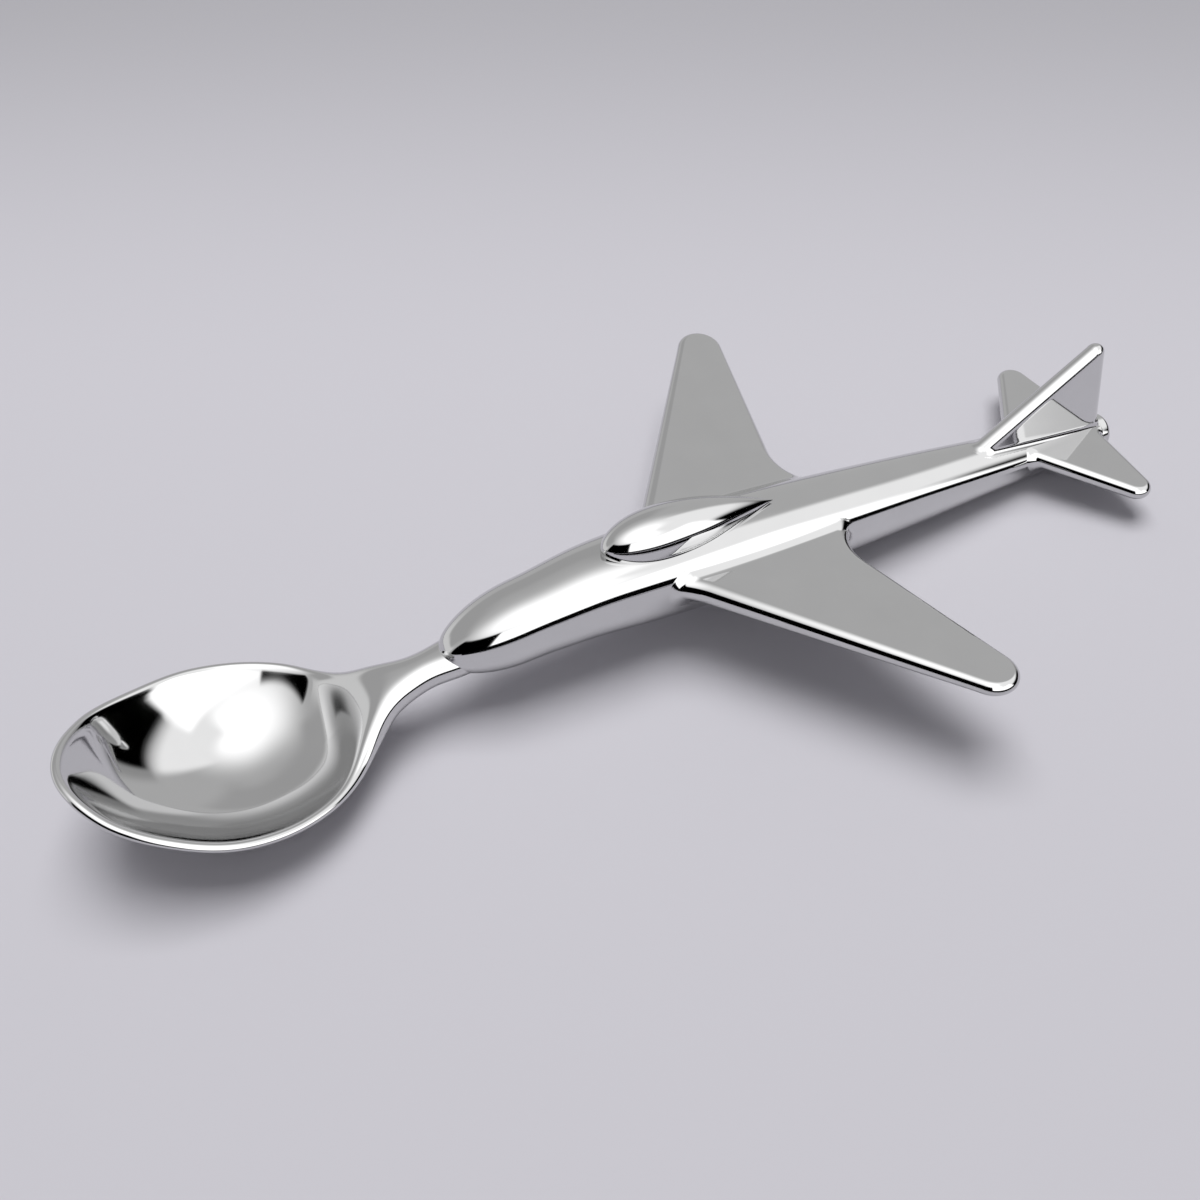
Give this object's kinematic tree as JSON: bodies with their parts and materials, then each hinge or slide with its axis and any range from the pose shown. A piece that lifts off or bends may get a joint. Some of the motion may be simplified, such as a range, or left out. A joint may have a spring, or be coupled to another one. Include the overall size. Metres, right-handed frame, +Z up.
{
  "type": "baby spoon",
  "caption": "Polished metal baby spoon: egg-shaped bowl on a slender neck, and a handle shaped as a small aeroplane with canopy, swept wings, fin and tailplanes.",
  "frame": {"origin": "middle of the bounding box's bottom face, on the table", "axes": "+X from the bowl towards the tail, +Y from the left wing towards the right wing as the pilot sees them, +Z up; the spoon lies on its bowl and its tail as it does on a table"},
  "size_m": [0.1452, 0.0722, 0.0204],
  "materials": {
    "bowl_steel": "mirror polished",
    "shell_chrome": "mirror polished",
    "wing_chrome": "mirror polished",
    "trim_chrome": "mirror polished",
    "cement": "matte"
  },
  "bodies": {
    "root": {"spoon_bowl_neck_and_tang": "bowl_steel", "upper_body_shell": "shell_chrome", "lower_body_shell": "shell_chrome", "cement_filling": "cement", "canopy": "trim_chrome", "left_wing": "wing_chrome", "right_wing": "wing_chrome", "tail_fin": "wing_chrome", "left_tailplane": "wing_chrome", "right_tailplane": "wing_chrome", "tail_button": "trim_chrome"}
  },
  "joints": []
}
